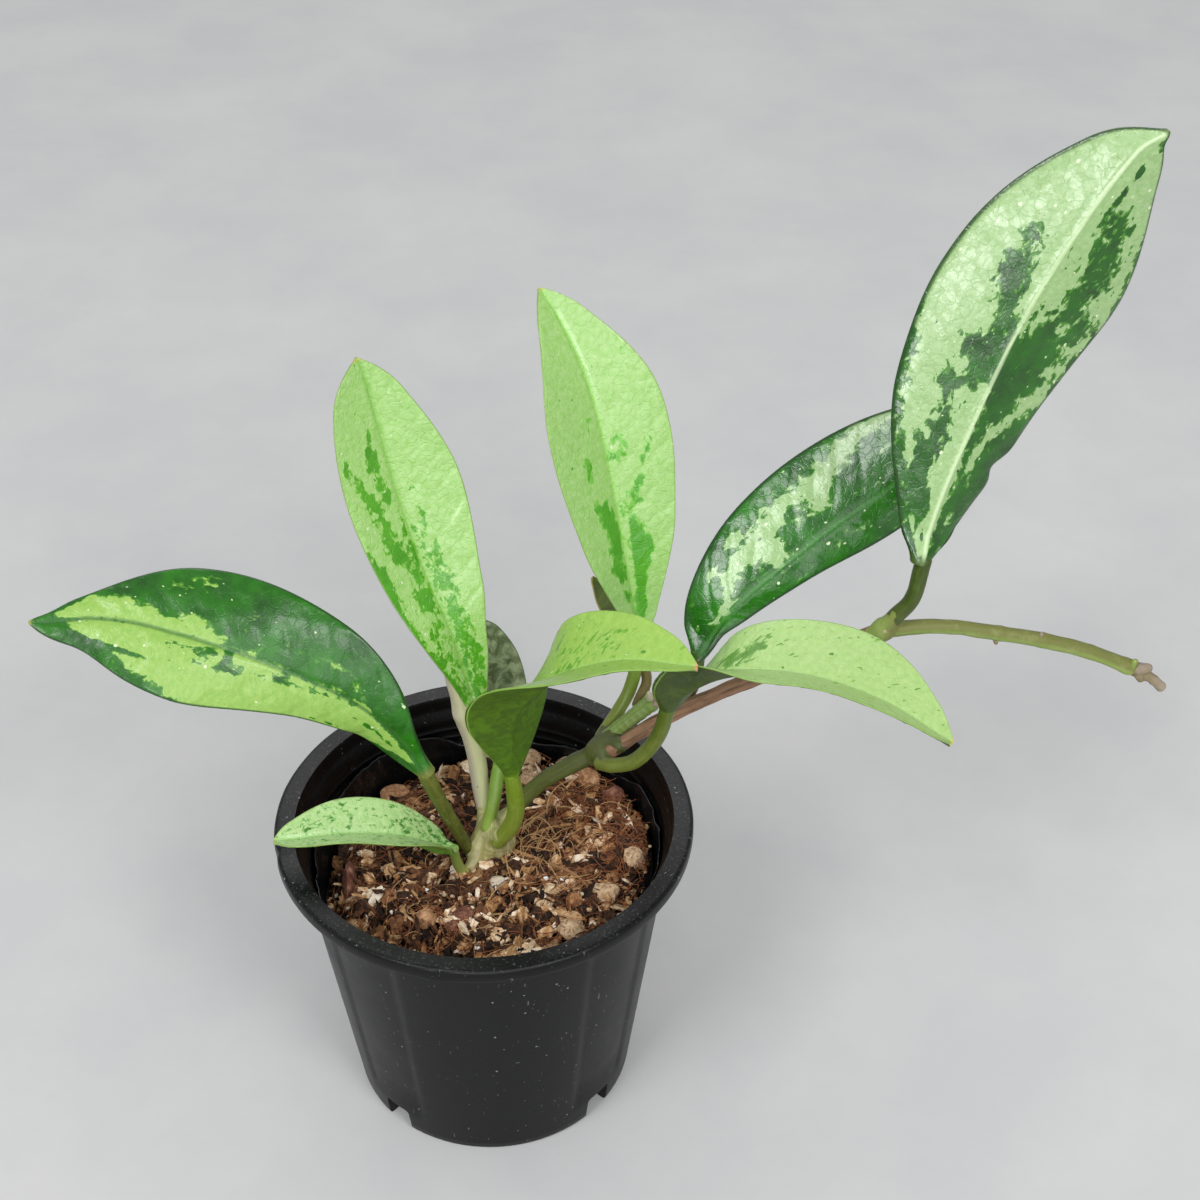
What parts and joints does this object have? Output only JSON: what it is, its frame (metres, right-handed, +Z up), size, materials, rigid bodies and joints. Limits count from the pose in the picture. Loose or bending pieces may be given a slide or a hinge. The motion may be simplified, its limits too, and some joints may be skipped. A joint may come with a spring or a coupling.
{
  "type": "potted hoya plant",
  "caption": "Hoya cutting in a small black plastic nursery pot: thick splashed oval leaves on fleshy petioles, a trailing vine, and bark and pumice potting mix in a thin liner.",
  "frame": {"origin": "centre of the pot's underside, on the surface that it stands on", "axes": "+Z up along the pot's axis, +X towards the side that the vine trails to, -Y towards the front"},
  "size_m": [0.2753, 0.106, 0.2601],
  "materials": {
    "pot_plastic": "black moulded polypropylene, satin, lightly dusty",
    "liner_film": "thin black crinkled film, glossy on its folds",
    "potting_mix": "loose chopped bark, coir fibre and grit, rough and dry",
    "bark": "broken bark chips, rough",
    "pumice": "pale pitted pumice and perlite, matt",
    "root": "dry tan roots, matt",
    "stem": "green living stem with a greyish skin, satin",
    "woody_stem": "brown woody stem, dry and finely ridged",
    "petiole": "fleshy green leaf stalk, satin",
    "young_leaf": "thick pale lime leaf with green flecks, semi-gloss",
    "old_leaf": "thick dark green leaf with silvery splashes, glossy"
  },
  "bodies": {
    "root": {"pot": "pot_plastic", "inner_liner": "liner_film", "potting_mix": "potting_mix", "root_crown": "stem", "shoot_stem": "stem", "vine_lower": "stem", "side_shoot": "petiole", "vine_woody": "woody_stem", "vine_upper": "stem", "vine_tip": "woody_stem", "petiole_a": "petiole", "petiole_b": "petiole", "petiole_c": "petiole", "petiole_d": "petiole", "petiole_e": "petiole", "petiole_f": "petiole", "petiole_g": "petiole", "petiole_h": "petiole", "petiole_i": "petiole", "petiole_j": "petiole", "leaf_a": "old_leaf", "leaf_b": "young_leaf", "leaf_c": "young_leaf", "leaf_d": "young_leaf", "leaf_e": "young_leaf", "leaf_f": "young_leaf", "leaf_g": "young_leaf", "leaf_h": "young_leaf", "leaf_i": "old_leaf", "leaf_j": "old_leaf", "pumice_right": "pumice", "pumice_front_right": "pumice", "pumice_front": "pumice", "pumice_back": "pumice", "pumice_back_small": "pumice", "bark_under_vine": "bark", "bark_red": "bark", "bark_left_chip": "bark", "bark_back_left": "bark", "bark_front_flake": "bark", "bark_pale_front": "bark", "perlite_bead": "pumice", "root_front_right": "root", "root_right": "root", "root_right_far": "root", "root_front": "root"}
  },
  "joints": []
}
